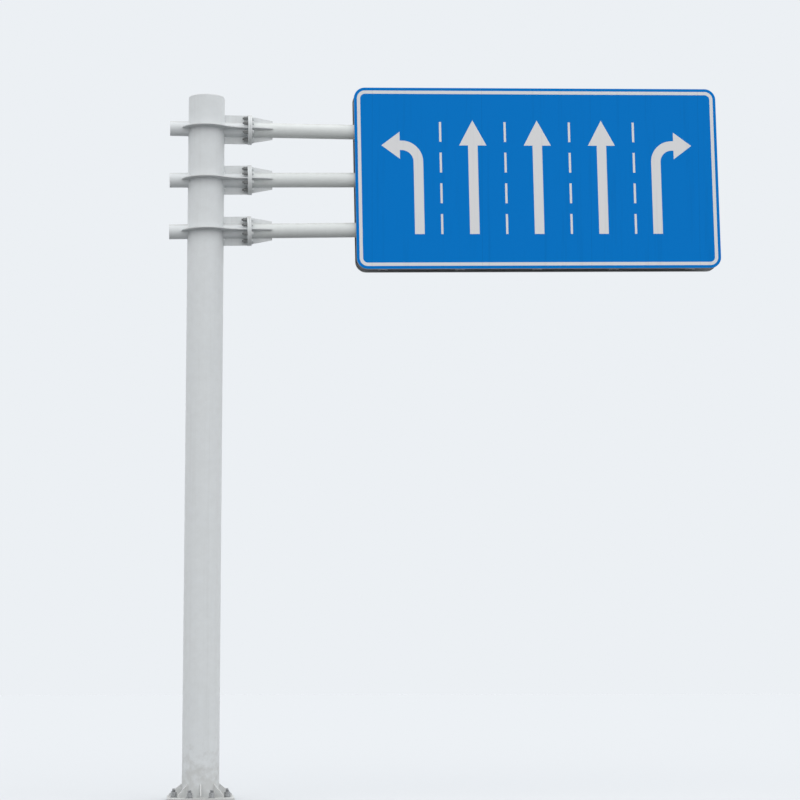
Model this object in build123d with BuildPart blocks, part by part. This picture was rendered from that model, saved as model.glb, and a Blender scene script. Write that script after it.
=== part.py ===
from build123d import *
from math import cos, radians, sin, sqrt, tan
import os

os.makedirs("parts", exist_ok=True)

# Cantilever sign gantry in millimetres, with a panel on each side of its arms. The origin is on the
# pole's axis at the underside of the base plate, +Z is up, +X runs along the arms towards the panels,
# and the front panel faces -Y.

# Base
base_width = 700
base_corner = 40
base_thickness = 30
anchor_circle = 600
anchor_count = 8
anchor_hole = 40
rib_height = 140
rib_reach = 135
rib_nose = 30
rib_thickness = 12

# Pole
pole_height = 7510
pole_diameter = 390
pole_wall = 10
cap_thickness = 10
cap_chamfer = 5

# Arms: the upper one's drop from the pole's top, their spacing on the pole's axis, and the upward
# slope of each towards the sign, in degrees
upper_arm_drop = 346
arm_spacing = 563
upper_rise = 0.1
middle_rise = 1.2
lower_rise = 1.6
arm_diameter = 159
arm_wall = 6
arm_end_wall = 6
tail_reach = 392

# Bolted joint of each arm, measured along the arm from the pole's axis
joint_reach = 468
flange_diameter = 320
flange_thickness = 22
bolt_circle = 250
bolt_count = 8
bolt_hole = 26
bolt_hole_sides = 8
gusset_thickness = 12
gusset_snipe = 14
stub_gusset_height = 158
arm_gusset_length = 224
arm_gusset_root = 144
arm_gusset_nose = 103

# Collar plate around the pole, which narrows in a long curve towards the flange
collar_diameter = 550
collar_thickness = 12
collar_nose = 132
collar_straight = 28

# Sign panels, alike and back to back
sign_start = 1607
sign_width = 4000
sign_height = 2000
sign_corner = 120
sign_rise = 1.1
sign_drop = 3
sheet_thickness = 3
rim_depth = 28
arm_end_setback = 140

# Channels on the panels' backs
channel_count = 5
channel_inset = 300
channel_depth = 35
channel_crown = 60
channel_brim = 25
channel_wall = 4
channel_end_gap = 20

# Room left for the weld where a curved face meets another piece
weld_gap = 0.3

pole_radius = pole_diameter / 2
arm_radius = arm_diameter / 2
upper_height = pole_height - upper_arm_drop
middle_height = upper_height - arm_spacing
lower_height = middle_height - arm_spacing
arms = {
    "upper": (upper_height, upper_rise),
    "middle": (middle_height, middle_rise),
    "lower": (lower_height, lower_rise),
}
stub_end = joint_reach - flange_thickness
arm_start = joint_reach + flange_thickness
sign_centre = sign_start + sign_width / 2
arm_end = sign_start + sign_width - arm_end_setback


def slope_vectors(rise):
    """Unit vectors along a line that rises towards +X by this many degrees, and square to it."""
    along = Vector(cos(radians(rise)), 0, sin(radians(rise)))
    upright = Vector(-sin(radians(rise)), 0, cos(radians(rise)))
    return along, upright


def front_view(height, rise):
    """Plane through an arm's axis that faces -Y, with its x along the arm."""
    return Plane(origin=(0, 0, height), x_dir=slope_vectors(rise)[0], z_dir=(0, -1, 0))


def top_view(height, rise):
    """Plane through an arm's axis that faces up, with its x along the arm."""
    along, upright = slope_vectors(rise)
    return Plane(origin=(0, 0, height), x_dir=along, z_dir=upright)


def end_view(height, rise, reach=0):
    """Plane square to an arm at this reach from the pole's axis, with its x towards -Y."""
    along = slope_vectors(rise)[0]
    return Plane(origin=(0, 0, height), x_dir=(0, -1, 0), z_dir=along).offset(reach)


# Base plate: square, with its corners rounded and a circle of anchor holes.
with BuildPart() as base_flange:
    with BuildSketch():
        RectangleRounded(base_width, base_width, base_corner)
    extrude(amount=base_thickness)
    with PolarLocations(anchor_circle / 2, anchor_count, start_angle=180 / anchor_count):
        Hole(anchor_hole / 2)
base_flange.part.label = "base_flange"
export_step(base_flange.part, "parts/base_flange.step")

# Upright ribs between the base plate and the pole, one between each two anchor holes.
with BuildPart() as base_ribs:
    with BuildSketch(Plane.XZ) as rib_outline:
        with BuildLine():
            Polyline(
                (pole_radius - pole_wall, base_thickness),
                (pole_radius + rib_reach, base_thickness),
                (pole_radius + rib_reach, base_thickness + rib_nose),
                (pole_radius, base_thickness + rib_height),
                (pole_radius - pole_wall, base_thickness + rib_height),
                close=True,
            )
        make_face()
        with Locations((pole_radius, base_thickness)):
            Rectangle(
                gusset_snipe * sqrt(2), gusset_snipe * sqrt(2), rotation=45, mode=Mode.SUBTRACT
            )
    rib = extrude(amount=rib_thickness / 2, both=True, mode=Mode.PRIVATE)
    with PolarLocations(0, anchor_count):
        add(rib)
    with BuildSketch():
        Circle(pole_radius + weld_gap)
    extrude(amount=pole_height, mode=Mode.SUBTRACT)
base_ribs.part.label = "base_ribs"
export_step(base_ribs.part, "parts/base_ribs.step")

# Pole, standing on the base plate, with a pair of holes for each stub.
pole_top = pole_height - cap_thickness
with BuildPart() as pole:
    with BuildSketch(Plane.XY.offset(base_thickness)):
        Circle(pole_radius)
        Circle(pole_radius - pole_wall, mode=Mode.SUBTRACT)
    extrude(amount=pole_top - base_thickness)
    for height, rise in arms.values():
        with BuildSketch(end_view(height, rise)):
            Circle(arm_radius + weld_gap)
        extrude(amount=pole_diameter, both=True, mode=Mode.SUBTRACT)
pole.part.label = "pole"
export_step(pole.part, "parts/pole.step")

# Flat cap on the pole.
with BuildPart() as pole_cap:
    with BuildSketch(Plane.XY.offset(pole_top)):
        Circle(pole_radius)
    extrude(amount=cap_thickness)
    chamfer(pole_cap.edges().group_by(Axis.Z)[-1], cap_chamfer)
pole_cap.part.label = "pole_cap"
export_step(pole_cap.part, "parts/pole_cap.step")

for level, (height, rise) in arms.items():
    # Stub: a tube through the pole, closed at its tail and welded to its flange.
    with BuildPart() as stub:
        with BuildSketch(end_view(height, rise, -tail_reach)):
            Circle(arm_radius)
        extrude(amount=tail_reach + stub_end)
        with BuildSketch(end_view(height, rise, -tail_reach + arm_end_wall)):
            Circle(arm_radius - arm_wall)
        extrude(amount=tail_reach + stub_end, mode=Mode.SUBTRACT)
    stub.part.label = f"{level}_stub"
    export_step(stub.part, f"parts/{level}_stub.step")

    # Collar plate, in two halves: a ring around the pole that runs on to the flange on both sides of
    # the stub. The concave curve is tangent to the ring and to the straight stretch at the flange.
    ring_radius = collar_diameter / 2
    curve_end = stub_end - collar_straight
    curve_radius = (curve_end**2 + collar_nose**2 - ring_radius**2) / (2 * (ring_radius - collar_nose))
    with BuildPart() as collar:
        with BuildSketch(top_view(height, rise).offset(-collar_thickness / 2)) as collar_outline:
            Circle(ring_radius)
            with Locations((stub_end / 2, 0)):
                Rectangle(stub_end, 2 * collar_nose)
            fillet(collar_outline.vertices().group_by(Axis.X)[0], curve_radius)
            Rectangle(2 * stub_end, 2 * (arm_radius + weld_gap), mode=Mode.SUBTRACT)
        extrude(amount=collar_thickness)
        with BuildSketch():
            Circle(pole_radius + weld_gap)
        extrude(amount=pole_height, mode=Mode.SUBTRACT)
    collar.part.label = f"{level}_collar"
    export_step(collar.part, f"parts/{level}_collar.step")

    # Upright plates above and below the stub, sniped where their welds meet.
    with BuildPart() as stub_gussets:
        with BuildSketch(front_view(height, rise)):
            with Locations((stub_end / 2, 0)):
                Rectangle(stub_end, 2 * stub_gusset_height)
            with Locations(*[(x, y) for x in (pole_radius, stub_end) for y in (-arm_radius, arm_radius)]):
                Rectangle(
                    gusset_snipe * sqrt(2), gusset_snipe * sqrt(2), rotation=45, mode=Mode.SUBTRACT
                )
        extrude(amount=gusset_thickness / 2, both=True)
        with BuildSketch():
            Circle(pole_radius + weld_gap)
        extrude(amount=pole_height, mode=Mode.SUBTRACT)
        with BuildSketch(end_view(height, rise)):
            Circle(arm_radius + weld_gap)
        extrude(amount=joint_reach, both=True, mode=Mode.SUBTRACT)
    stub_gussets.part.label = f"{level}_stub_gussets"
    export_step(stub_gussets.part, f"parts/{level}_stub_gussets.step")

    # Four tapered plates at the arm's root, above, below, before and behind it.
    gusset_end = arm_start + arm_gusset_length
    with BuildPart() as arm_gussets:
        for view in (front_view(height, rise), top_view(height, rise)):
            with BuildSketch(view):
                with BuildLine():
                    Polyline(
                        (arm_start, -arm_gusset_root),
                        (gusset_end, -arm_gusset_nose),
                        (gusset_end, arm_gusset_nose),
                        (arm_start, arm_gusset_root),
                        close=True,
                    )
                make_face()
                with Locations((arm_start, -arm_radius), (arm_start, arm_radius)):
                    Rectangle(
                        gusset_snipe * sqrt(2), gusset_snipe * sqrt(2), rotation=45, mode=Mode.SUBTRACT
                    )
            extrude(amount=gusset_thickness / 2, both=True)
        with BuildSketch(end_view(height, rise, joint_reach)):
            Circle(arm_radius + weld_gap)
        extrude(amount=2 * arm_gusset_length, mode=Mode.SUBTRACT)
    arm_gussets.part.label = f"{level}_arm_gussets"
    export_step(arm_gussets.part, f"parts/{level}_arm_gussets.step")

    # Arm: a tube from its flange to its closed end behind the sign.
    with BuildPart() as arm:
        with BuildSketch(end_view(height, rise, arm_start)):
            Circle(arm_radius)
        extrude(amount=arm_end - arm_start)
        with BuildSketch(end_view(height, rise, arm_start)):
            Circle(arm_radius - arm_wall)
        extrude(amount=arm_end - arm_end_wall - arm_start, mode=Mode.SUBTRACT)
    arm.part.label = f"{level}_arm"
    export_step(arm.part, f"parts/{level}_arm.step")


def flange_set(reach):
    """One bolted flange for each arm, with its near face at this reach from the pole's axis."""
    with BuildPart() as flanges:
        for height, rise in arms.values():
            with BuildSketch(end_view(height, rise, reach)):
                Circle(flange_diameter / 2)
                with PolarLocations(bolt_circle / 2, bolt_count, start_angle=180 / bolt_count):
                    RegularPolygon(
                        bolt_hole / 2, bolt_hole_sides, major_radius=False, mode=Mode.SUBTRACT
                    )
            extrude(amount=flange_thickness)
    return flanges


# The stubs' flanges, and face to face with them the arms' flanges.
stub_flanges = flange_set(stub_end)
stub_flanges.part.label = "stub_flanges"
export_step(stub_flanges.part, "parts/stub_flanges.step")
arm_flanges = flange_set(joint_reach)
arm_flanges.part.label = "arm_flanges"
export_step(arm_flanges.part, "parts/arm_flanges.step")

# The panels are upright and square to the Y axis, turned by sign_rise in their own planes, and centred on
# the middle arm but for sign_drop. The channels' crowns lie against the arms from both sides, and the
# sheets lie against the channels' brims.
arm_face = arm_radius + weld_gap
sheet_back = arm_face + channel_depth
sign_middle = Vector(sign_centre, 0, middle_height + sign_centre * tan(radians(middle_rise)) - sign_drop)
sign_along, sign_upright = slope_vectors(sign_rise)
channel_spacing = (sign_width - 2 * channel_inset) / (channel_count - 1)
channel_places = [channel_spacing * (i - (channel_count - 1) / 2) for i in range(channel_count)]

for side, facing in (("front", -1), ("rear", 1)):
    # Sign panel: a sheet with its rim folded back.
    panel_plane = Plane(origin=sign_middle, x_dir=sign_along * -facing, z_dir=(0, facing, 0))
    with BuildPart() as panel:
        with BuildSketch(panel_plane.offset(sheet_back - rim_depth)):
            RectangleRounded(sign_width, sign_height, sign_corner)
        extrude(amount=rim_depth + sheet_thickness)
        with BuildSketch(panel_plane.offset(sheet_back - rim_depth)):
            RectangleRounded(
                sign_width - 2 * sheet_thickness,
                sign_height - 2 * sheet_thickness,
                sign_corner - sheet_thickness,
            )
        extrude(amount=rim_depth, mode=Mode.SUBTRACT)
    panel.part.label = f"{side}_panel"
    export_step(panel.part, f"parts/{side}_panel.step")

    # Hat-section channels, brims against the sheet and crown against the arms.
    channel_length = sign_height - 2 * (sheet_thickness + channel_end_gap)
    half_crown = channel_crown / 2
    crown, crown_inside = facing * arm_face, facing * (arm_face + channel_wall)
    brim, brim_inside = facing * sheet_back, facing * (sheet_back - channel_wall)
    for number, place in enumerate(channel_places, 1):
        foot = sign_middle + sign_along * place - sign_upright * (channel_length / 2)
        with BuildPart() as channel:
            with BuildSketch(Plane(origin=foot, x_dir=sign_along, z_dir=sign_upright)):
                with BuildLine():
                    half_hat = Polyline(
                        (0, crown),
                        (half_crown, crown),
                        (half_crown, brim_inside),
                        (half_crown + channel_brim, brim_inside),
                        (half_crown + channel_brim, brim),
                        (half_crown - channel_wall, brim),
                        (half_crown - channel_wall, crown_inside),
                        (0, crown_inside),
                    )
                    mirror(half_hat, about=Plane.YZ)
                make_face()
            extrude(amount=channel_length)
        channel.part.label = f"{side}_channel_{number}"
        export_step(channel.part, f"parts/{side}_channel_{number}.step")
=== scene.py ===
from math import asin, cos, pi, radians, sin, sqrt, tan

import bmesh
import bpy
from mathutils import Matrix, Vector


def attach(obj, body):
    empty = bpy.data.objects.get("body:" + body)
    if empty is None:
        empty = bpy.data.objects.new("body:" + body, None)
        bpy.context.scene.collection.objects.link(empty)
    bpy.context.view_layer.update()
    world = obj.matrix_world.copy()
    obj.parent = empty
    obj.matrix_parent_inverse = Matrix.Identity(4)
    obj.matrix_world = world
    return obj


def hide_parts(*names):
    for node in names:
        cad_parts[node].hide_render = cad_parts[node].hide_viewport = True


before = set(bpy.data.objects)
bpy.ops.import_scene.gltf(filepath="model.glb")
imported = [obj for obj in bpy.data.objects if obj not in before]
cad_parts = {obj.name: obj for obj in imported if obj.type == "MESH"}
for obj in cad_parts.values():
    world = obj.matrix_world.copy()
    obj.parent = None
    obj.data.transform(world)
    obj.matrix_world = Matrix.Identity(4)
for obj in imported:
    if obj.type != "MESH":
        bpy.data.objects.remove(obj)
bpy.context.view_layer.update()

# Base plate and ribs: a square of 30 mm steel plate on the footing, with eight upright ribs that brace the
# pole. They are flame cut, ground along the edges, welded, galvanised and painted. Soil splashes up on
# them, and the paint wears through to zinc along the edges first.


def put(tree, kind, inputs=None, **settings):
    """Adds a node with these settings, and gives each named input a value or a link."""
    node = tree.nodes.new(kind)
    for name, value in settings.items():
        setattr(node, name, value)
    for name, value in (inputs or {}).items():
        if isinstance(value, bpy.types.NodeSocket):
            tree.links.new(value, node.inputs[name])
        else:
            node.inputs[name].default_value = value
    return node


def noise(tree, where, scale, detail=2.0, roughness=0.5):
    """A noise value around 0.5 at this many waves to the metre."""
    inputs = {"Vector": where, "Scale": scale, "Detail": detail, "Roughness": roughness}
    return put(tree, "ShaderNodeTexNoise", inputs).outputs["Fac"]


def drawn_out(tree, where, scale):
    """Places for a pattern that is finer along one axis than along another."""
    return put(tree, "ShaderNodeMapping", {"Vector": where, "Scale": scale}).outputs[0]


def remap(tree, value, low, high, to_low=0.0, to_high=1.0):
    """Turns the range from low to high into the range from to_low to to_high, cut off at its ends."""
    inputs = {"Value": value, "From Min": low, "From Max": high, "To Min": to_low, "To Max": to_high}
    return put(tree, "ShaderNodeMapRange", inputs).outputs["Result"]


def calculate(tree, operation, first, second):
    """One calculation with two values or sockets."""
    return put(tree, "ShaderNodeMath", {0: first, 1: second}, operation=operation).outputs[0]


def product(tree, first, *others):
    """Values or sockets, all multiplied together."""
    for other in others:
        first = calculate(tree, "MULTIPLY", first, other)
    return first


def blend(tree, factor, first, second):
    """Two colours, mixed by a factor."""
    return put(tree, "ShaderNodeMix", {0: factor, 6: first, 7: second}, data_type="RGBA").outputs[2]


def shader_group(name, inputs, outputs):
    """A shader node group with named sockets, and its input and output nodes."""
    group = bpy.data.node_groups.new(name, "ShaderNodeTree")
    for label, value in inputs.items():
        kind = "NodeSocketFloat" if isinstance(value, float) else "NodeSocketColor"
        group.interface.new_socket(label, in_out="INPUT", socket_type=kind).default_value = value
    for label in outputs:
        kind = "NodeSocketColor" if "Colour" in label else "NodeSocketFloat"
        group.interface.new_socket(label, in_out="OUTPUT", socket_type=kind)
    return group, put(group, "NodeGroupInput").outputs, put(group, "NodeGroupOutput").inputs


weathering, given, result = shader_group(
    "weathered_paint",
    {
        "Colour": (0.6, 0.6, 0.6, 1),
        "Dirt Colour": (0.3, 0.28, 0.25, 1),
        "Fading": 0.05,
        "Runs": 0.2,
        "Dust": 0.3,
        "Splash": 0.6,
    },
    ("Colour", "Roughness", "Height"),
)
where = put(weathering, "ShaderNodeTexCoord").outputs["Object"]
above_ground = put(weathering, "ShaderNodeSeparateXYZ", {0: where}).outputs["Z"]
normal = put(weathering, "ShaderNodeNewGeometry").outputs["Normal"]
upward = put(weathering, "ShaderNodeSeparateXYZ", {0: normal}).outputs["Z"]
patches = noise(weathering, where, 13, detail=5, roughness=0.6)
# Rain leaves narrow runs down the upright faces.
runs = noise(weathering, drawn_out(weathering, where, (30, 30, 0.7)), 1, detail=3)
on_upright = remap(weathering, upward, 0.5, 0.1)
runs = product(weathering, remap(weathering, runs, 0.52, 0.74), on_upright, given["Runs"])
# Dust settles in patches on the faces that look up. The same darkening is also painted shade, which holds
# down how bright the light from above makes these tops.
on_top = remap(weathering, upward, 0.6, 1.0)
dust_and_top_shade = product(weathering, on_top, remap(weathering, patches, 0.3, 0.6, 0.45, 1.0), given["Dust"])
# Soil splashes from the ground up to an uneven height.
splash_height = product(weathering, remap(weathering, patches, 0.3, 0.7), 0.45)
splash = remap(weathering, calculate(weathering, "SUBTRACT", above_ground, splash_height), 0.3, -0.1)
splash = product(weathering, splash, given["Splash"])
# The dirt mask takes in the runs, the splashes and the dust with its painted shade on the tops.
dirt = calculate(weathering, "MAXIMUM", calculate(weathering, "MAXIMUM", runs, dust_and_top_shade), splash)
# The sun fades broad areas, and all of the paint is a little mottled under the dirt.
fading = noise(weathering, where, 1.4, detail=4, roughness=0.6)
fading = product(weathering, remap(weathering, fading, 0.3, 0.7), given["Fading"])
faded = blend(weathering, fading, given["Colour"], (1, 1, 1, 1))
mottled = blend(weathering, remap(weathering, patches, 0.35, 0.65, 0.0, 0.06), faded, given["Dirt Colour"])
weathering.links.new(blend(weathering, dirt, mottled, given["Dirt Colour"]), result["Colour"])
# The paint is satin where it is clean and duller under the dirt.
satin = remap(weathering, patches, 0.2, 0.8, 0.36, 0.5)
dulled = calculate(weathering, "ADD", satin, product(weathering, dirt, 0.35))
weathering.links.new(dulled, result["Roughness"])
# Sprayed paint has a fine orange peel over longer waves.
waves = product(weathering, noise(weathering, where, 40), 1.5)
peel = calculate(weathering, "ADD", noise(weathering, where, 260), waves)
weathering.links.new(peel, result["Height"])


def new_material(name):
    """A material, its tree and the inputs of its shader."""
    material = bpy.data.materials.new(name)
    material.use_nodes = True
    return material, material.node_tree, material.node_tree.nodes["Principled BSDF"].inputs


def relief(tree, height, strength, distance):
    """Bump for the shader's Normal, from a height that stands this many metres proud."""
    inputs = {"Height": height, "Strength": strength, "Distance": distance}
    return put(tree, "ShaderNodeBump", inputs).outputs[0]


def painted(name, colour, wear=(), **weather):
    """Satin paint with the shared weathering. Where it is worn, this bare colour shows in patches."""
    material, tree, shader = new_material(name)
    inputs = {"Colour": (*colour, 1), "Dirt Colour": (0.30, 0.285, 0.255, 1), **weather}
    coat = put(tree, "ShaderNodeGroup", inputs, node_tree=weathering).outputs
    finish = coat["Colour"]
    if wear:
        where = put(tree, "ShaderNodeTexCoord").outputs["Object"]
        bare = remap(tree, noise(tree, where, 22, detail=6, roughness=0.7), 0.5, 0.62)
        finish = blend(tree, bare, finish, (*wear, 1))
        tree.links.new(product(tree, bare, 0.8), shader["Metallic"])
    shader["Specular IOR Level"].default_value = 0.3
    tree.links.new(finish, shader["Base Color"])
    tree.links.new(coat["Roughness"], shader["Roughness"])
    tree.links.new(relief(tree, coat["Height"], strength=0.25, distance=0.0004), shader["Normal"])
    return material


def link(name, mesh):
    """A finished piece in the scene, which rides on the part's one body."""
    piece = bpy.data.objects.new(name, mesh)
    bpy.context.scene.collection.objects.link(piece)
    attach(piece, "root")
    return piece


def dress(node, face, edge=None, rounding=0.0015):
    """Stands for a CAD node with a merged copy of it. Its sharp edges are rounded, in the edge material."""
    same_point, flat, corner, crease = 2e-6, radians(0.6), radians(40), radians(50)
    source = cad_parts[node].data
    shape = bmesh.new()
    points = [shape.verts.new(vertex.co) for vertex in source.vertices]
    for polygon in source.polygons:
        shape.faces.new([points[i] for i in polygon.vertices])
    bmesh.ops.remove_doubles(shape, verts=shape.verts, dist=same_point)
    bmesh.ops.dissolve_limit(shape, angle_limit=flat, verts=shape.verts, edges=shape.edges)
    if edge:
        sharp = [line for line in shape.edges if line.is_manifold and line.calc_face_angle() > corner]
        bmesh.ops.bevel(
            shape, geom=sharp, offset=rounding, segments=2, profile=0.5, affect="EDGES", material=1
        )
    for polygon in shape.faces:
        polygon.smooth = True
    for line in shape.edges:
        line.smooth = line.is_manifold and line.calc_face_angle() < crease
    mesh = bpy.data.meshes.new(f"dressed_{node}")
    shape.to_mesh(mesh)
    shape.free()
    for material in (face, edge or face):
        mesh.materials.append(material)
    piece = link(f"dressed_{node}", mesh)
    normals = piece.modifiers.new("face_normals", "WEIGHTED_NORMAL")
    normals.keep_sharp = True
    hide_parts(node)
    return piece


zinc_grey = (0.36, 0.37, 0.38)
# Each paint's dust amount, here and on the pole and arms, also sets the painted shade on its upward faces.
plate_paint = painted("plate_paint", (0.70, 0.73, 0.745), Fading=0.06, Runs=0.1, Dust=0.55, Splash=0.35)
plate_edge = painted("plate_edge", (0.66, 0.69, 0.70), wear=zinc_grey, Runs=0.1, Splash=0.35)
dress("base_flange", plate_paint, plate_edge, rounding=0.002)
dress("base_ribs", plate_paint, plate_edge)

# Anchor bolts: eight M36 studs cast into the footing, each with a plate washer, a full nut and a thinner
# lock nut. They are hot dip galvanised, dull and a little blotchy, and each stands at its own turn.
anchor_circle = 0.600
anchor_count = 8
anchor_flats = 0.055
anchor_washer = (0.072, 0.008)
base_top = 0.030
nut_gap = 0.0005


def metal(name, colour, roughness, blotches, grain=(90, 90, 90), bare=0.75):
    """Metal, more or less bare, blotchy from the weather, with a fine grain that may run one way."""
    material, tree, shader = new_material(name)
    where = put(tree, "ShaderNodeTexCoord").outputs["Object"]
    blotch = noise(tree, where, 45, detail=5, roughness=0.65)
    scratch = noise(tree, drawn_out(tree, where, grain), 4, detail=3)
    dark = tuple(channel * (1 - blotches) for channel in colour)
    finish = blend(tree, remap(tree, blotch, 0.35, 0.65), (*colour, 1), (*dark, 1))
    tree.links.new(finish, shader["Base Color"])
    tree.links.new(remap(tree, blotch, 0.3, 0.7, roughness, roughness + 0.2), shader["Roughness"])
    shader["Metallic"].default_value = bare
    tree.links.new(relief(tree, scratch, strength=0.3, distance=0.0003), shader["Normal"])
    return material


def skin(shape, rings):
    """Joins rings that have as many points each, from the lowest up, and closes both ends."""
    rows = [[shape.verts.new(point) for point in ring] for ring in rings]
    for low, high in zip(rows, rows[1:]):
        for i in range(len(low)):
            shape.faces.new((low[i - 1], low[i], high[i], high[i - 1]))
    shape.faces.new(rows[0][::-1])
    shape.faces.new(rows[-1])


def hexagon(shape, flats, low, high):
    """A nut or a bolt's head, with the corners of both ends turned to a cone."""
    inner = 0.475 * flats
    rings = [[], [], [], []]
    for step in range(24):
        turn = step * pi / 12
        reach = flats / 2 / cos((turn + pi / 6) % (pi / 3) - pi / 6)
        drop = (reach - inner) * tan(radians(30))
        outline = ((inner, low), (reach, low + drop), (reach, high - drop), (inner, high))
        for ring, (radius, level) in zip(rings, outline):
            ring.append((radius * cos(turn), radius * sin(turn), level))
    skin(shape, rings)


def turned(shape, outline, sides=24):
    """A solid turned on the Z axis from an outline of radii and heights."""
    turns = [2 * pi * step / sides for step in range(sides)]
    skin(shape, [[(radius * cos(t), radius * sin(t), level) for t in turns] for radius, level in outline])


def washer(shape, diameter, low, high):
    """A flat washer with its rims broken."""
    rim = (high - low) / 5
    radius = diameter / 2
    turned(shape, [(radius - rim, low), (radius, low + rim), (radius, high - rim), (radius - rim, high)])


def thread(shape, diameter, low, length, pitch):
    """The threaded end of a bolt, with a cone at its tip."""
    crest = diameter / 2
    root = crest - 0.6 * pitch
    outline = [(root, low)]
    for turn in range(int(length / pitch)):
        outline += [(crest, low + (turn + 0.5) * pitch), (root, low + (turn + 1) * pitch)]
    turned(shape, outline + [(root - 0.5 * pitch, low + length)], sides=16)


def nutted(shape, face, washer_size, flats, nuts, stud):
    """A washer above a face at this height, nuts of these heights on it, and the stud's end."""
    diameter, thickness = washer_size
    level = face + thickness
    washer(shape, diameter, face, level)
    for height in nuts:
        low = level + nut_gap
        level = low + height
        hexagon(shape, flats, low, level)
    diameter, length, pitch = stud
    thread(shape, diameter, level, length, pitch)


def geometry_tree(name, **inputs):
    """A Geometry Nodes tree with these named inputs, and its input and output nodes."""
    tree = bpy.data.node_groups.new(name, "GeometryNodeTree")
    for label, kind in inputs.items():
        tree.interface.new_socket(label, in_out="INPUT", socket_type=f"NodeSocket{kind}")
    tree.interface.new_socket("Geometry", in_out="OUTPUT", socket_type="NodeSocketGeometry")
    return tree, put(tree, "NodeGroupInput").outputs, put(tree, "NodeGroupOutput").inputs


def finished(tree, geometry, material, result):
    """Ends a tree: what it holds becomes plain geometry in its material."""
    real = put(tree, "GeometryNodeRealizeInstances", {"Geometry": geometry}).outputs[0]
    coated = put(tree, "GeometryNodeSetMaterial", {"Geometry": real, "Material": material}).outputs[0]
    tree.links.new(coated, result["Geometry"])


def grown(tree, start=None, **values):
    """The plain mesh that a tree makes with these named values, from a start mesh if it needs one."""
    holder = bpy.data.objects.new("holder", start or bpy.data.meshes.new("holder"))
    bpy.context.scene.collection.objects.link(holder)
    modifier = holder.modifiers.new("grown", "NODES")
    modifier.node_group = tree
    for socket in tree.interface.items_tree:
        if socket.in_out == "INPUT" and socket.name in values:
            modifier[socket.identifier] = values[socket.name]
    shown = holder.evaluated_get(bpy.context.evaluated_depsgraph_get())
    mesh = bpy.data.meshes.new_from_object(shown)
    bpy.data.objects.remove(holder)
    return mesh


bolt_ring, given, result = geometry_tree(
    "bolt_ring",
    Bolt="Object",
    Circle="Float",
    Count="Int",
    First="Float",
    Seed="Int",
    Material="Material",
)
radius = calculate(bolt_ring, "DIVIDE", given["Circle"], 2.0)
circle = put(bolt_ring, "GeometryNodeMeshCircle", {"Vertices": given["Count"], "Radius": radius}).outputs[0]
spin = put(bolt_ring, "FunctionNodeRandomValue", {2: 0.0, 3: 2 * pi, "Seed": given["Seed"]}).outputs[1]
spin = put(bolt_ring, "FunctionNodeAxisAngleToRotation", {"Axis": (0, 0, 1), "Angle": spin}).outputs[0]
bolt = put(bolt_ring, "GeometryNodeObjectInfo", {"Object": given["Bolt"]}).outputs["Geometry"]
placed = {"Points": circle, "Instance": bolt, "Rotation": spin}
placed = put(bolt_ring, "GeometryNodeInstanceOnPoints", placed).outputs[0]
first = put(bolt_ring, "ShaderNodeCombineXYZ", {"Z": given["First"]}).outputs[0]
placed = put(bolt_ring, "GeometryNodeTransform", {"Geometry": placed, "Rotation": first}).outputs[0]
finished(bolt_ring, placed, given["Material"], result)


def repeated(tree, build, start=None, **values):
    """The mesh that a tree makes of the bolt that a function builds."""
    shape = bmesh.new()
    build(shape)
    single = bpy.data.meshes.new("single")
    shape.to_mesh(single)
    shape.free()
    original = bpy.data.objects.new("single", single)
    mesh = grown(tree, start, Bolt=original, **values)
    bpy.data.objects.remove(original)
    return mesh


def ring_of(build, circle, count, seed, material):
    """The mesh of a ring of bolts around the Z axis, none of them on the X axis."""
    return repeated(
        bolt_ring, build, Circle=circle, Count=count, First=pi / count, Seed=seed, Material=material
    )


def anchor(shape):
    """One anchor bolt's end, above the base plate."""
    nutted(shape, base_top, anchor_washer, anchor_flats, nuts=(0.0285, 0.0175), stud=(0.036, 0.027, 0.004))


galvanised = metal("galvanised", (0.46, 0.47, 0.48), roughness=0.45, blotches=0.3)
mesh = ring_of(anchor, anchor_circle, anchor_count, seed=3, material=galvanised)
link("anchor_bolts", mesh)

# Pole: a 390 mm steel tube with a 10 mm wall, closed by a flat cap that is welded on and ground flush. It
# is galvanised and painted light grey, satin, with faint runs where rain leaves the joints.
pole_paint = painted("pole_paint", (0.70, 0.733, 0.753), Fading=0.06, Runs=0.06, Dust=0.6, Splash=0.3)
dress("pole", pole_paint)
dress("pole_cap", pole_paint)

# Stubs, collars and stub gussets: each arm's stub passes right through the pole. A collar plate in two
# halves runs from a ring around the pole to the flange, and an upright plate stands above and below the
# stub. All are welded and share the pole's paint.
levels = ("upper", "middle", "lower")
for level in levels:
    dress(f"{level}_stub", pole_paint)
    dress(f"{level}_collar", plate_paint, plate_edge)
    dress(f"{level}_stub_gussets", plate_paint, plate_edge)

# Flanges: two turned discs of 22 mm steel plate face to face at each joint, one welded to the stub and
# one to the arm, and each drilled for eight bolts.
dress("stub_flanges", plate_paint, plate_edge)
dress("arm_flanges", plate_paint, plate_edge)

# Joint bolts: eight galvanised M24 bolts through each pair of flanges, heads towards the sign and two
# nuts each towards the pole. The heads are painted over with the arms, and the nuts and thread ends have
# gone dark.
flange_thickness = 0.022
joint_reach = 0.468
bolt_circle = 0.250
bolt_count = 8
bolt_flats = 0.036
bolt_washer = (0.044, 0.004)
# Each arm's height on the pole's axis, and the degrees that it rises towards the sign.
arms = {"upper": (7.164, 0.1), "middle": (6.601, 1.2), "lower": (6.038, 1.6)}


def on_arm(level):
    """An arm's own axes, from the pole's centre: X along the arm, Y across it, Z square to both."""
    height, rise = arms[level]
    return Matrix.Translation((0, 0, height)) @ Matrix.Rotation(radians(-rise), 4, "Y")


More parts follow.
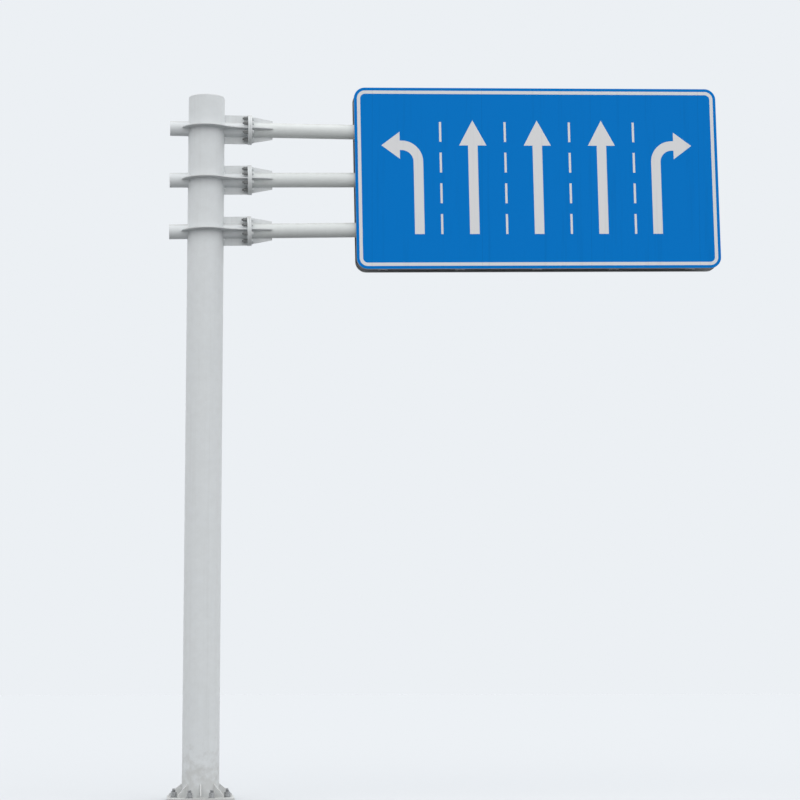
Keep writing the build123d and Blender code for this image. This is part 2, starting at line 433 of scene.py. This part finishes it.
def headed(shape, face, washer_size, flats, head):
    """A washer below a face at this height, and a bolt's head of this height under it."""
    diameter, thickness = washer_size
    washer(shape, diameter, face - thickness, face)
    high = face - thickness - nut_gap
    hexagon(shape, flats, high - head, high)


def joint_nuts(shape):
    """What shows of one bolt on the stub's side, up from the joint's middle."""
    nuts, stud = (0.019, 0.019), (0.024, 0.015, 0.003)
    nutted(shape, flange_thickness, bolt_washer, bolt_flats, nuts, stud)


def joint_head(shape):
    """What shows of one bolt on the arm's side, down from the joint's middle."""
    headed(shape, -flange_thickness, bolt_washer, bolt_flats, head=0.0145)


dark_zinc = metal("dark_zinc", (0.27, 0.28, 0.28), roughness=0.55, blotches=0.35, bare=0.2)
bolt_ends = (("nuts", joint_nuts, dark_zinc, "zinc"), ("bolt_heads", joint_head, plate_paint, "arm_paint"))
for seed, level in enumerate(levels, 11):
    joint = on_arm(level) @ Matrix.Translation((joint_reach, 0, 0)) @ Matrix.Rotation(radians(-90), 4, "Y")
    for name, build, finish, slot in bolt_ends:
        mesh = ring_of(build, bolt_circle, bolt_count, seed, finish)
        mesh.transform(joint)
        link(f"{level}_joint_{name}", mesh)

# Arms: 159 mm steel tubes with a 6 mm wall, closed at their far ends, and four tapered plates welded on
# at each root. They are galvanised and painted as the pole is.
arm_paint = painted("arm_paint", (0.70, 0.735, 0.735), Fading=0.06, Runs=0.05, Dust=0.5)
for level in levels:
    dress(f"{level}_arm", arm_paint)
    dress(f"{level}_arm_gussets", plate_paint, plate_edge)

# Welds: hand-laid beads along every joint of the plates, tubes and flanges, painted over. Each ripple
# is a stop of the electrode. The runs beside a plate end just short of its corners.
pole_radius = 0.195
arm_radius = 0.0795
plate_half = 0.006
snipe = 0.014
stand_off = 0.0005
rib_end, rib_top = 0.328, 0.168
stub_gusset_top = 0.154
collar_start, collar_side = 0.185, 0.128
stub_end = joint_reach - flange_thickness
arm_start = joint_reach + flange_thickness
arm_gusset_end, arm_gusset_top = arm_start + 0.222, 0.140

weld_bead, given, result = geometry_tree(
    "weld_bead",
    Geometry="Geometry",
    Leg="Float",
    Pitch="Float",
    Ripple="Float",
    Seed="Int",
    Material="Material",
)
line = put(weld_bead, "GeometryNodeMeshToCurve", {"Mesh": given["Geometry"]}).outputs[0]
half = calculate(weld_bead, "DIVIDE", given["Pitch"], 2.0)
line = put(weld_bead, "GeometryNodeResampleCurve", {"Curve": line, "Length": half}, mode="LENGTH").outputs[0]
ripple = calculate(weld_bead, "MODULO", put(weld_bead, "GeometryNodeInputIndex").outputs[0], 2.0)
ripple = product(weld_bead, ripple, given["Ripple"])
uneven = put(weld_bead, "FunctionNodeRandomValue", {2: 0.92, 3: 1.08, "Seed": given["Seed"]}).outputs[1]
swell = calculate(weld_bead, "SUBTRACT", uneven, ripple)
section = {"Resolution": 6, "Radius": given["Leg"]}
section = put(weld_bead, "GeometryNodeCurvePrimitiveCircle", section).outputs[0]
bead = {"Curve": line, "Profile Curve": section, "Scale": swell, "Fill Caps": True}
bead = put(weld_bead, "GeometryNodeCurveToMesh", bead).outputs[0]
smooth = put(weld_bead, "GeometryNodeSetShadeSmooth", {"Geometry": bead}).outputs[0]
finished(weld_bead, smooth, given["Material"], result)


def arc(radius, start, end, shape, steps=48):
    """Points on a circle between two angles, bent into shape."""
    turns = [start + (end - start) * i / steps for i in range(steps + 1)]
    return [shape(radius * cos(turn), radius * sin(turn)) for turn in turns]


def beside(turn, foot, start, end, walls, top, clear=snipe):
    """Runs on both sides of a plate: along what it stands on, and up each wall that it meets."""
    runs = []
    for side in (-plate_half, plate_half):
        runs.append([turn @ Vector((start, side, foot)), turn @ Vector((end, side, foot))])
        for wall in walls:
            runs.append([turn @ Vector((wall, side, foot + clear)), turn @ Vector((wall, side, top))])
    return runs


def weld(name, paths, leg, seed):
    """One piece with a bead along each of these paths."""
    points = [point for path in paths for point in path]
    edges, start = [], 0
    for path in paths:
        edges += [(i, i + 1) for i in range(start, start + len(path) - 1)]
        start += len(path)
    lines = bpy.data.meshes.new("lines")
    lines.from_pydata([tuple(point) for point in points], edges, [])
    mesh = grown(weld_bead, lines, Leg=leg, Pitch=0.008, Ripple=0.14, Seed=seed, Material=plate_paint)
    link(name, mesh)


rib_spacing = 2 * pi / anchor_count
rib_clear = radians(2.5)
paths = []
for rib in range(anchor_count):
    # Around the pole between two ribs, then beside a rib, out on the base plate and up the pole.
    bearing = rib * rib_spacing
    ends = bearing + rib_clear, bearing + rib_spacing - rib_clear
    paths.append(arc(pole_radius, *ends, lambda x, y: Vector((x, y, base_top)), steps=12))
    turn = Matrix.Rotation(bearing, 4, "Z")
    paths += beside(turn, base_top, pole_radius + snipe, rib_end, [pole_radius], rib_top)
weld("base_welds", paths, leg=0.005, seed=5)

root = arm_radius + 2 * stand_off
stub_clear = 0.004
for seed, level in enumerate(levels, 21):
    height, rise = arms[level]
    slope = tan(radians(rise))
    arm_axes = on_arm(level)
    paths = []
    # Around the pole, over and under the collar, and around the stub where it goes through the pole.
    start = asin((arm_radius + stub_clear) / pole_radius)
    sweep = pi - 2 * start
    for first in (start, pi + start):
        for face in (height - plate_half - stand_off, height + plate_half + stand_off):
            ring = arc(pole_radius, first, first + sweep, lambda x, y: Vector((x, y, face + x * slope)))
            paths.append(ring)
    for side in (-pole_radius, pole_radius):
        ring = arc(arm_radius, 0, 2 * pi, lambda y, z: Vector((side * sqrt(1 - (y / side) ** 2), y, z)))
        paths.append([arm_axes @ point for point in ring])
    # Around both tubes at the flanges.
    for reach in (stub_end - stand_off, arm_start + stand_off):
        paths.append(arc(arm_radius, 0, 2 * pi, lambda y, z: arm_axes @ Vector((reach, y, z))))
    # Beside the arm's gussets all around, the stub's gussets above and below, and the collar at its sides.
    for quarter in range(4):
        turn = arm_axes @ Matrix.Rotation(quarter * pi / 2, 4, "X")
        paths += beside(turn, root, arm_start + snipe, arm_gusset_end, [arm_start], arm_gusset_top)
        if quarter % 2 == 0:
            ends = pole_radius + snipe, stub_end - snipe
            paths += beside(turn, root, *ends, [stub_end, pole_radius], stub_gusset_top)
        else:
            paths += beside(turn, root, collar_start, stub_end, [stub_end], collar_side, clear=0)
    weld(f"{level}_joint_welds", paths, leg=0.006, seed=seed)

# Channels: five hat-section extrusions of mill finish aluminium up the back of each panel, opposite those
# of the other panel. Their crowns lie against the arms from both sides.
channel_count = 5
channel_metal = metal(
    "channel_metal", (0.62, 0.63, 0.64), roughness=0.38, blotches=0.12, grain=(160, 160, 3)
)
channel_edge = metal("channel_edge", (0.70, 0.71, 0.72), roughness=0.32, blotches=0.10)
for side in ("front", "rear"):
    for number in range(1, channel_count + 1):
        dress(f"{side}_channel_{number}", channel_metal, channel_edge, rounding=0.0006)

# Rivets: domed aluminium rivets in two rows up each channel, 150 mm apart, through its brims and the
# panel's sheet.
rivet_row = 0.043
channel_spacing = 0.85
channel_places = [channel_spacing * (i - (channel_count - 1) / 2) for i in range(channel_count)]
channel_depth = 0.035
channel_wall = 0.004
arm_face = 0.0798
sheet_back = arm_face + channel_depth
# The sign's middle is a little below the middle arm's axis, and the sign is turned in its own plane.
sign_reach = 3.607
sign_drop = 0.003
sign_rise = 1.1
height, rise = arms["middle"]
sign_middle = Vector((sign_reach, 0, height - sign_drop + sign_reach * tan(radians(rise))))
sign_turn = Matrix.Translation(sign_middle) @ Matrix.Rotation(radians(-sign_rise), 4, "Y")

rivets, given, result = geometry_tree(
    "rivets", Head="Float", Rise="Float", Pitch="Float", Rows="Int", Material="Material"
)
offset = put(rivets, "ShaderNodeCombineXYZ", {"Z": given["Pitch"]}).outputs[0]
drop = product(rivets, calculate(rivets, "SUBTRACT", given["Rows"], 1.0), -0.5, given["Pitch"])
foot = put(rivets, "ShaderNodeCombineXYZ", {"Z": drop}).outputs[0]
row = {"Count": given["Rows"], "Start Location": foot, "Offset": offset}
row = put(rivets, "GeometryNodeMeshLine", row, mode="OFFSET").outputs[0]
ball = put(rivets, "GeometryNodeMeshUVSphere", {"Segments": 8, "Rings": 5, "Radius": 1.0}).outputs[0]
dome = {"X": given["Head"], "Y": given["Rise"], "Z": given["Head"]}
dome = put(rivets, "ShaderNodeCombineXYZ", dome).outputs[0]
placed = {"Points": row, "Instance": ball, "Scale": dome}
placed = put(rivets, "GeometryNodeInstanceOnPoints", placed).outputs[0]
finished(rivets, placed, given["Material"], result)


def joined(name, meshes):
    """One piece of several meshes that share a material."""
    shape = bmesh.new()
    for mesh in meshes:
        shape.from_mesh(mesh)
    whole = bpy.data.meshes.new(name)
    shape.to_mesh(whole)
    shape.free()
    whole.materials.append(meshes[0].materials[0])
    link(name, whole)


for side, facing in (("front", -1), ("rear", 1)):
    rows = []
    for place in channel_places:
        for brim in (-rivet_row, rivet_row):
            mesh = grown(rivets, Head=0.005, Rise=0.0022, Pitch=0.15, Rows=13, Material=channel_edge)
            on_brim = Matrix.Translation((place + brim, facing * (sheet_back - channel_wall), 0))
            mesh.transform(sign_turn @ on_brim)
            rows.append(mesh)
    joined(f"{side}_rivets", rows)

# Tie bolts: M12 bolts of zinc plated steel through the crowns of each pair of channels, one above and one
# below each arm. They clamp the two panels onto the arms.
tie_diameter = 0.012
tie_flats = 0.018
tie_washer = (0.024, 0.0025)
beside_arm = 0.098


def tie_bolt(shape):
    """One bolt across the arms, with its head at one end and its nut at the other."""
    half = arm_face + channel_wall
    nutted(shape, half, tie_washer, tie_flats, nuts=(0.010,), stud=(tie_diameter, 0.009, 0.00175))
    turned(shape, [(tie_diameter / 2, -half), (tie_diameter / 2, half)], sides=12)
    headed(shape, -half, tie_washer, tie_flats, head=0.0075)


ties, given, result = geometry_tree("tie_bolts", Geometry="Geometry", Bolt="Object", Material="Material")
across = {"Axis": (1, 0, 0), "Angle": radians(-90)}
across = put(ties, "FunctionNodeAxisAngleToRotation", across).outputs[0]
bolt = put(ties, "GeometryNodeObjectInfo", {"Object": given["Bolt"]}).outputs["Geometry"]
placed = {"Points": given["Geometry"], "Instance": bolt, "Rotation": across}
placed = put(ties, "GeometryNodeInstanceOnPoints", placed).outputs[0]
finished(ties, placed, given["Material"], result)

tie_metal = metal("tie_metal", (0.40, 0.41, 0.42), roughness=0.42, blotches=0.3)
upright = sign_turn.to_3x3() @ Vector((0, 0, 1))
points = []
for height, rise in arms.values():
    slope = tan(radians(rise))
    for place in channel_places:
        # The height, in the sign's own plane, at which this arm's axis crosses the channel.
        foot = sign_turn @ Vector((place, 0, 0))
        crossing = (height + foot.x * slope - foot.z) / (upright.z - upright.x * slope)
        points += [(place, 0, crossing - beside_arm), (place, 0, crossing + beside_arm)]
crossings = bpy.data.meshes.new("crossings")
crossings.from_pydata(points, [], [])
mesh = repeated(ties, tie_bolt, crossings, Material=tie_metal)
mesh.transform(sign_turn)
link("tie_bolts", mesh)

# Panels: two aluminium sheets, 3 mm thick, back to back, with the rim folded back all around. Their faces
# carry blue retroreflective film in strips, and their backs and rims are bare metal, coloured darker than
# bare aluminium as painted shade for the shaded gap between the panels and for the rims.
sheet_thickness = 0.003
film_strip = 1.2
first_seam = 1.79


def film(name, colour, cell, lattice):
    """Retroreflective film: fine cells under a glossy face, with the seams of its strips and faint dirt."""
    material, tree, shader = new_material(name)
    where = put(tree, "ShaderNodeTexCoord").outputs["Object"]
    cells = put(tree, "ShaderNodeTexVoronoi", {"Vector": where, "Scale": 230}, feature="DISTANCE_TO_EDGE")
    walls = remap(tree, cells.outputs["Distance"], 0.02, 0.10, cell, 0.0)
    tone = blend(tree, walls, (*colour, 1), (*lattice, 1))
    along = put(tree, "ShaderNodeSeparateXYZ", {0: where}).outputs["X"]
    along = calculate(tree, "SUBTRACT", along, first_seam)
    seam = remap(tree, calculate(tree, "PINGPONG", along, film_strip / 2), 0.001, 0.004, 0.35, 0.0)
    shaded = tuple(channel * 0.6 for channel in colour)
    tone = blend(tree, seam, tone, (*shaded, 1))
    dirt = noise(tree, drawn_out(tree, where, (22, 22, 0.8)), 1, detail=4, roughness=0.6)
    tone = blend(tree, remap(tree, dirt, 0.55, 0.8, 0.0, 0.10), tone, (0.0, 0.0, 0.0, 1))
    tree.links.new(tone, shader["Base Color"])
    broad = noise(tree, where, 3, detail=4)
    tree.links.new(remap(tree, broad, 0.3, 0.7, 0.30, 0.42), shader["Roughness"])
    shader["Specular IOR Level"].default_value = 0.04
    height = calculate(tree, "ADD", walls, product(tree, seam, 3))
    tree.links.new(relief(tree, height, strength=0.15, distance=0.0002), shader["Normal"])
    return material


blue_film = film("blue_film", (0.0, 0.188, 0.61), cell=0.04, lattice=(0.0, 0.27, 0.70))
# This metal is much darker than bare aluminium. It is painted shade for the dark gap between the panels and
# for their rims.
panel_metal_painted_dark = metal("panel_metal_painted_dark", (0.32, 0.33, 0.34), roughness=0.50, blotches=0.15, bare=0.2)
for side, facing in (("front", -1), ("rear", 1)):
    panel = dress(f"{side}_panel", panel_metal_painted_dark, panel_metal_painted_dark, rounding=0.001)
    panel.data.materials.append(blue_film)
    for polygon in panel.data.polygons:
        outermost = polygon.center.y * facing > sheet_back + 0.9 * sheet_thickness
        if polygon.normal.y * facing > 0.5 and outermost:
            polygon.material_index = 2

# Marks: a border line along the panel's edge, and five lane arrows with broken lane lines between them.
# All are cut from white film and laid on the blue, so they stand proud by its thickness.
film_thickness = 0.0004
bedding = 0.00005
sign_size = (4.0, 2.0)
sign_corner = 0.12
border_margin = 0.032
border_width = 0.036
lane_count = 5
lane_pitch = 0.71
arrow_foot, arrow_neck = -0.62, 0.36
arrow_width = 0.105
head_spread = 0.30
straight_head, turned_head = 0.28, 0.20
dash_count = 4
dash_width, dash_length, dash_pitch = 0.024, 0.22, 0.34
white_film = film("white_film", (0.74, 0.75, 0.77), cell=0.10, lattice=(0.6, 0.6, 0.62))


def cut_film(shape, outline, hole=None):
    """A flat shape of film in the sign's own plane. A hole in it has as many points as its outline."""
    if hole:
        for level, turned_over in ((0, True), (film_thickness, False)):
            for i in range(len(outline)):
                corners = [outline[i - 1], outline[i], hole[i], hole[i - 1]]
                ring = [shape.verts.new((x, z, level)) for x, z in corners]
                shape.faces.new(ring[::-1] if turned_over else ring)
        for rim, turned_over in ((outline, False), (hole, True)):
            for i in range(len(rim)):
                low = [(*rim[i - 1], 0), (*rim[i], 0)]
                high = [(*rim[i], film_thickness), (*rim[i - 1], film_thickness)]
                ring = [shape.verts.new(corner) for corner in low + high]
                shape.faces.new(ring[::-1] if turned_over else ring)
    else:
        skin(shape, [[(x, z, level) for x, z in outline] for level in (0, film_thickness)])


def rounded(inset):
    """The outline of the panel, this far in from its edge, anticlockwise."""
    width, height = sign_size
    corner = sign_corner - inset
    points = []
    for quarter in range(4):
        x = (width / 2 - sign_corner) * (1, -1, -1, 1)[quarter]
        y = (height / 2 - sign_corner) * (1, 1, -1, -1)[quarter]
        for step in range(13):
            turn = pi / 2 * (quarter + step / 12)
            points.append((x + corner * cos(turn), y + corner * sin(turn)))
    return points


def arrow(points, length):
    """The outline of an arrow along these points, whose last one is where its head begins."""
    left, right = [], []
    for i, (x, y) in enumerate(points):
        ahead = Vector(points[min(i + 1, len(points) - 1)])
        across = (ahead - Vector(points[max(i - 1, 0)])).normalized() * arrow_width / 2
        left.append((x - across.y, y + across.x))
        right.append((x + across.y, y - across.x))
    end = Vector(points[-1])
    way = (end - Vector(points[-2])).normalized()
    side = Vector((way.y, -way.x)) * head_spread / 2
    return right + [tuple(end + side), tuple(end + way * length), tuple(end - side)] + left[::-1]


def turning(side):
    """The centre line of an arrow that turns to one side: 1 is right and -1 is left."""
    bend, neck, shift = 0.18, 0.20, 0.11
    turns = [pi / 2 * i / 12 for i in range(13)]
    line = [(0.0, arrow_foot)]
    line += [(side * (bend - bend * cos(t)), bend + bend * sin(t)) for t in turns]
    line += [(side * neck, 2 * bend)]
    return [(x - side * shift, y) for x, y in line]


for side, facing in (("front", -1), ("rear", 1)):
    shape = bmesh.new()
    cut_film(shape, rounded(border_margin), rounded(border_margin + border_width))
    for lane in range(lane_count):
        x = (lane - (lane_count - 1) / 2) * lane_pitch
        if lane in (0, lane_count - 1):
            figure = arrow(turning(1 if lane else -1), turned_head)
        else:
            figure = arrow([(0, arrow_foot), (0, arrow_neck)], straight_head)
        cut_film(shape, [(x + a, b) for a, b in figure])
        left = x - lane_pitch / 2 - dash_width / 2
        right = left + dash_width
        for dash in range(dash_count if lane else 0):
            low = arrow_foot + dash * dash_pitch
            high = low + dash_length
            cut_film(shape, [(left, low), (right, low), (right, high), (left, high)])
    bmesh.ops.remove_doubles(shape, verts=shape.verts, dist=1e-6)
    bmesh.ops.recalc_face_normals(shape, faces=shape.faces)
    marks = bpy.data.meshes.new(f"{side}_marks")
    shape.to_mesh(marks)
    shape.free()
    marks.materials.append(white_film)
    face = Matrix.Translation((0, facing * (sheet_back + sheet_thickness - bedding), 0))
    about = Matrix.Rotation(0 if side == "front" else pi, 4, "Z")
    marks.transform(sign_turn @ face @ about @ Matrix.Rotation(radians(90), 4, "X"))
    link(f"{side}_marks", marks)

# Studio: a pale floor that fades into a pale background, and the soft light of an overcast sky, a little
# stronger in front and overhead and weaker on the left and from below. The camera stands at the
# photograph's place.
floor_reach = 150.0
floor_tone = (0.599, 0.622, 0.646, 1)
floor_bounce = (0.165, 0.165, 0.165, 1)
background_tone = (0.839, 0.871, 0.904, 1)
corners = [(-floor_reach, -floor_reach, 0), (floor_reach, -floor_reach, 0)]
corners += [(floor_reach, floor_reach, 0), (-floor_reach, floor_reach, 0)]
floor_mesh = bpy.data.meshes.new("floor")
floor_mesh.from_pydata(corners, [], [(0, 1, 2, 3)])
floor = bpy.data.objects.new("floor", floor_mesh)
bpy.context.scene.collection.objects.link(floor)


def seen_directly(tree):
    """A mask that is 1 where the camera sees a surface itself, in a mirror or through glass."""
    path = put(tree, "ShaderNodeLightPath").outputs
    seen = calculate(tree, "MAXIMUM", path["Is Camera Ray"], path["Is Glossy Ray"])
    return calculate(tree, "MAXIMUM", seen, path["Is Transmission Ray"])


floor_paint, tree, shader = new_material("floor_paint")
tree.links.new(blend(tree, seen_directly(tree), floor_bounce, floor_tone), shader["Base Color"])
shader["Specular IOR Level"].default_value = 0.0
floor_mesh.materials.append(floor_paint)

world = bpy.data.worlds.new("overcast")
bpy.context.scene.world = world
world.use_nodes = True
tree = world.node_tree
ray = put(tree, "ShaderNodeTexCoord").outputs["Generated"]
way = put(tree, "ShaderNodeSeparateXYZ", {0: ray}).outputs
light = product(
    tree,
    remap(tree, way["Z"], -0.1, 0.25, 0.46, 1.37),
    remap(tree, way["Z"], 0.25, 1.0, 1.0, 1.15),
    remap(tree, way["Y"], 1.0, -1.0, 0.80, 1.14),
    remap(tree, way["X"], -1.0, 0.0, 0.86, 1.025),
)
sky = put(tree, "ShaderNodeCombineColor", {"Red": light, "Green": light, "Blue": light}).outputs[0]
sky = blend(tree, seen_directly(tree), sky, background_tone)
tree.links.new(sky, tree.nodes["Background"].inputs["Color"])

camera = bpy.data.cameras.new("camera")
camera.sensor_width = 36
camera.lens = 103.5
viewer = bpy.data.objects.new("camera", camera)
bpy.context.scene.collection.objects.link(viewer)
viewer.location = (-0.271, -24.469, 1.265)
viewer.rotation_euler = (radians(96.883), radians(0.054), radians(-5.533))
bpy.context.scene.camera = viewer
bpy.context.scene.view_settings.view_transform = "Standard"
